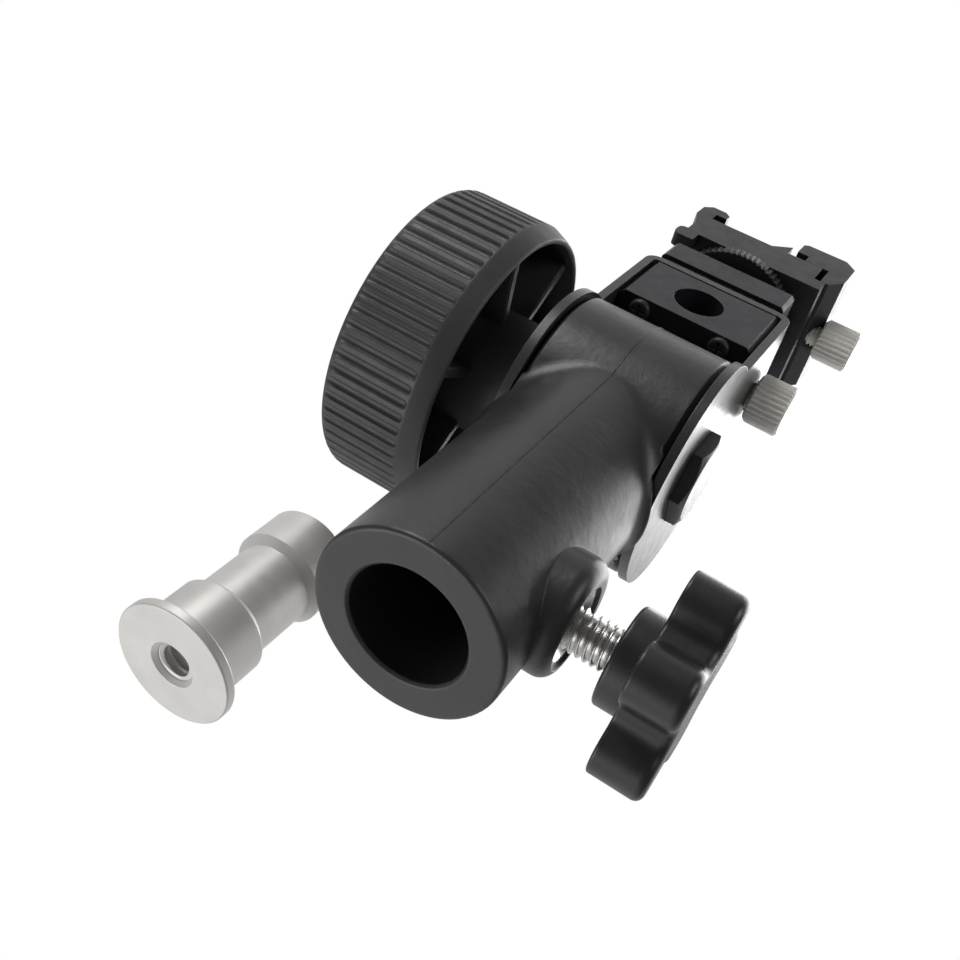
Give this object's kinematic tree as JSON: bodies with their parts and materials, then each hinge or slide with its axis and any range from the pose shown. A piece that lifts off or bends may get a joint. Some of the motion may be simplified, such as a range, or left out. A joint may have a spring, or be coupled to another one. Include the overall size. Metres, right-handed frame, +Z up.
{
  "type": "umbrella swivel bracket",
  "caption": "Swivel bracket for a light stand with a tilting yoke, an umbrella hole, a clamping flash shoe and a loose spigot.",
  "frame": {"origin": "middle of the stand socket's mouth, where the tube's flat end meets the socket axis", "axes": "+Z up the socket tube towards the shoe, +X along the tilt axis from the big knob to the hexagon bolt head, +Y to the back"},
  "size_m": [0.075, 0.0646, 0.1218],
  "materials": {
    "body_cast": "satin black powder coat with a faint orange peel",
    "insert_metal": "turned steel",
    "fibre": "matt black fibre",
    "yoke_paint": "satin black paint on steel sheet",
    "block_anodised": "satin black anodised aluminium",
    "screw_black": "blackened steel",
    "stud_steel": "zinc plated thread",
    "bolt_black": "blackened steel, satin",
    "washer_steel": "plain steel",
    "knob_plastic": "matt black moulded plastic",
    "nut_steel": "zinc plated",
    "disc_black": "black anodised, knurled rim",
    "shoe_anodised": "black anodised aluminium",
    "nickel": "warm nickel plate, knurled",
    "thread_zinc": "bright zinc plate",
    "star_plastic": "satin black moulded plastic",
    "spigot_metal": "pale turned metal, lightly brushed"
  },
  "bodies": {
    "socket": {"socket_body": "body_cast", "clamp_insert": "insert_metal", "friction_washers": "fibre"},
    "head": {"yoke_bracket": "yoke_paint", "umbrella_block": "block_anodised", "block_screws": "screw_black", "top_plate": "block_anodised", "shoe_stud": "stud_steel", "tilt_bolt": "bolt_black"},
    "knob_washer": {"tilt_washer": "washer_steel"},
    "knob": {"tilt_knob": "knob_plastic", "knob_nut": "nut_steel"},
    "disc": {"lock_disc": "disc_black"},
    "shoe": {"shoe_base": "shoe_anodised"},
    "jaw": {"clamp_jaw": "shoe_anodised"},
    "jaw_clamp": {"jaw_screw": "nickel"},
    "lock_stem": {"lock_screw_stem": "nickel"},
    "lock_head": {"lock_screw_head": "nickel"},
    "clamp_rod": {"clamp_stem": "thread_zinc"},
    "star": {"star_knob": "star_plastic"},
    "spigot_piece": {"spigot": "spigot_metal"}
  },
  "joints": [
    {"name": "head_tilt", "type": "hinge", "parent": "socket", "child": "head", "pos_m": [0.0004, 0.0022, 0.0563], "axis": [1, 0, 0], "range_deg": [-90, 90]},
    {"name": "washer_slide", "type": "slide", "parent": "head", "child": "knob_washer", "axis": [-1, 0, 0], "range_m": [0, 0.00251]},
    {"name": "knob_turn", "type": "hinge", "parent": "knob_washer", "child": "knob", "pos_m": [0.0004, 0.0022, 0.0563], "axis": [-1, 0, 0], "range_deg": [0, 720]},
    {"name": "disc_turn", "type": "hinge", "parent": "head", "child": "disc", "pos_m": [0, 0, 0.1045], "axis": [0, 0, 1], "continuous": true},
    {"name": "shoe_pan", "type": "hinge", "parent": "head", "child": "shoe", "pos_m": [0, 0, 0.11], "axis": [0, 0, 1], "continuous": true},
    {"name": "jaw_slide", "type": "slide", "parent": "shoe", "child": "jaw", "axis": [1, 0, 0], "range_m": [-0.0007, 0.0014]},
    {"name": "jaw_screw_turn", "type": "hinge", "parent": "jaw", "child": "jaw_clamp", "pos_m": [0.0166, 0, 0.1116], "axis": [1, 0, 0], "range_deg": [-360, 720]},
    {"name": "lock_slide", "type": "slide", "parent": "head", "child": "lock_stem", "axis": [1, 0, 0], "range_m": [-0.0004, 0.0024]},
    {"name": "lock_turn", "type": "hinge", "parent": "lock_stem", "child": "lock_head", "pos_m": [0.0141, 0, 0.082], "axis": [1, 0, 0], "range_deg": [-180, 1080]},
    {"name": "clamp_slide", "type": "slide", "parent": "socket", "child": "clamp_rod", "axis": [1, 0, 0], "range_m": [-0.00301, 0.00201]},
    {"name": "clamp_turn", "type": "hinge", "parent": "clamp_rod", "child": "star", "pos_m": [0.0248, 0, 0.014], "axis": [1, 0, 0], "range_deg": [-1080, 720]},
    {"name": "spigot_lift", "type": "slide", "parent": "socket", "child": "spigot_piece", "axis": [0, 0, 1], "range_m": [0, 0.012]}
  ],
  "couplings": [
    {"joint": "washer_slide", "follows": "knob_turn", "m_per_rad": 0.00019894},
    {"joint": "jaw_screw_turn", "follows": "jaw_slide", "rad_per_m": 8975.9},
    {"joint": "lock_turn", "follows": "lock_slide", "rad_per_m": 7853.9},
    {"joint": "clamp_slide", "follows": "clamp_turn", "m_per_rad": 0.00015915}
  ]
}
